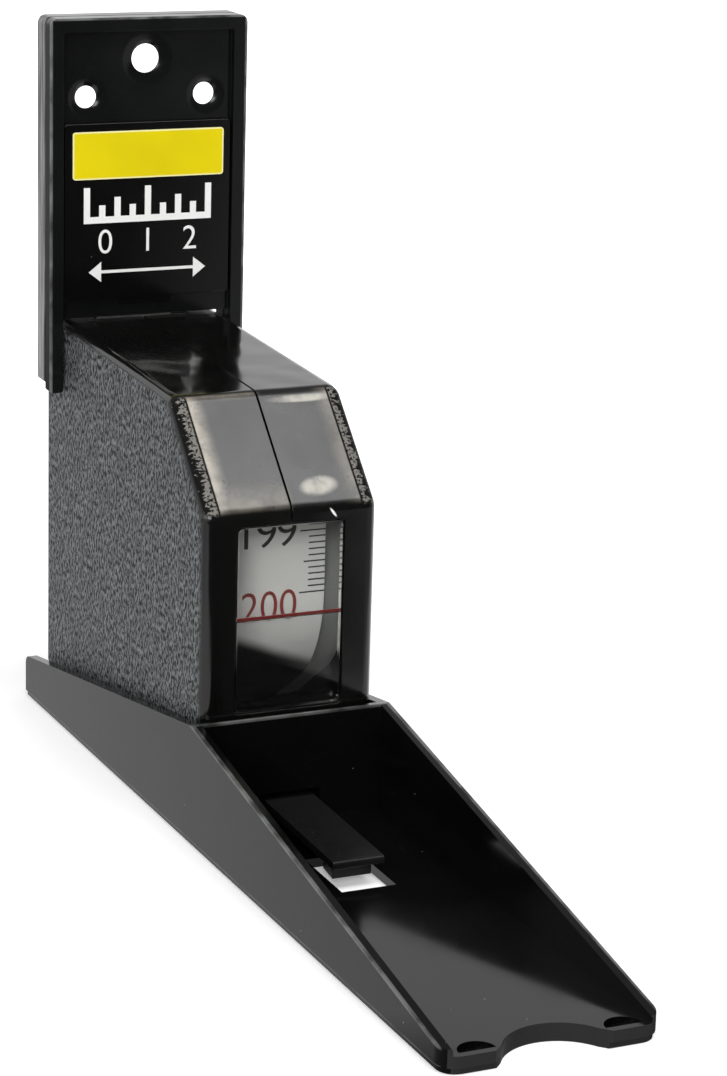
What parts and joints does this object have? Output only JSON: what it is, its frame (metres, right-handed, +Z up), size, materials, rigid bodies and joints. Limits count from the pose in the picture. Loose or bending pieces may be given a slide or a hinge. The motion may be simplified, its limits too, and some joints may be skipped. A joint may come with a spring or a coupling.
{
  "type": "wall stadiometer",
  "caption": "Roll-up wall stadiometer: tape case with reading window, tray-shaped headpiece arm and two-layer wall bracket that pulls the tape out.",
  "frame": {"origin": "bottom centre of the part's box: on the underside of the headpiece arm, half way along it", "axes": "+Z up along the tape, +Y towards the wall, -Y towards the tip of the headpiece arm, X across"},
  "size_m": [0.036, 0.1652, 0.1187],
  "materials": {
    "case_plastic": "fine spark-eroded texture on the sides, gloss on the front and top",
    "arm_plastic": "satin moulded black plastic",
    "bracket_plastic": "satin moulded black plastic",
    "inner_plastic": "plain moulded dark grey plastic",
    "clear_pane": "polished clear acrylic",
    "red_ink": "red paint in a groove",
    "tape_film": "white lacquered tape with printed marks",
    "steel": "zinc-plated steel",
    "spring_steel": "blued spring steel",
    "label_black": "smooth printed label plate",
    "yellow_ink": "printed yellow band"
  },
  "bodies": {
    "case": {"case_left_shell": "case_plastic", "case_right_shell": "case_plastic", "window_pane": "clear_pane", "index_line": "red_ink", "tape_guide": "inner_plastic", "guide_bar": "steel", "tape_run": "tape_film", "tape_lead": "tape_film", "reel_axle": "steel", "mainspring": "spring_steel", "headpiece_arm": "arm_plastic", "latch_pin": "steel", "case_screw_front_bottom": "steel", "case_screw_rear_bottom": "steel", "case_screw_rear_top": "steel", "case_screw_front_top": "steel"},
    "reel": {"reel_hub": "inner_plastic", "tape_roll": "tape_film", "reel_flange_left": "inner_plastic", "reel_flange_right": "inner_plastic"},
    "latch": {"latch_tongue": "arm_plastic"},
    "bracket": {"bracket_rear_plate": "bracket_plastic", "bracket_front_frame": "bracket_plastic", "label_plate": "label_black", "label_band": "yellow_ink", "tape_end_tab": "tape_film", "tape_end_pin": "steel", "bracket_screw_left": "steel", "bracket_screw_right": "steel", "bracket_screw_top": "steel"}
  },
  "joints": [
    {"name": "bracket_slide", "type": "slide", "parent": "case", "child": "bracket", "axis": [0, 0, 1], "range_m": [0, 2], "stiffness_N_per_m": 1, "springref_m": -1.5, "deforming": ["tape_lead"]},
    {"name": "reel_spin", "type": "hinge", "parent": "case", "child": "reel", "pos_m": [0, 0.0479, 0.0361], "axis": [1, 0, 0], "range_deg": [0, 6960]},
    {"name": "latch_hinge", "type": "hinge", "parent": "case", "child": "latch", "pos_m": [0, 0.01085, 0.0047], "axis": [-1, 0, 0], "range_deg": [0, 5], "stiffness_Nm_per_rad": 0.01, "springref_deg": -5.73}
  ],
  "couplings": [
    {"joint": "reel_spin", "follows": "bracket_slide", "rad_per_m": 60.6}
  ]
}
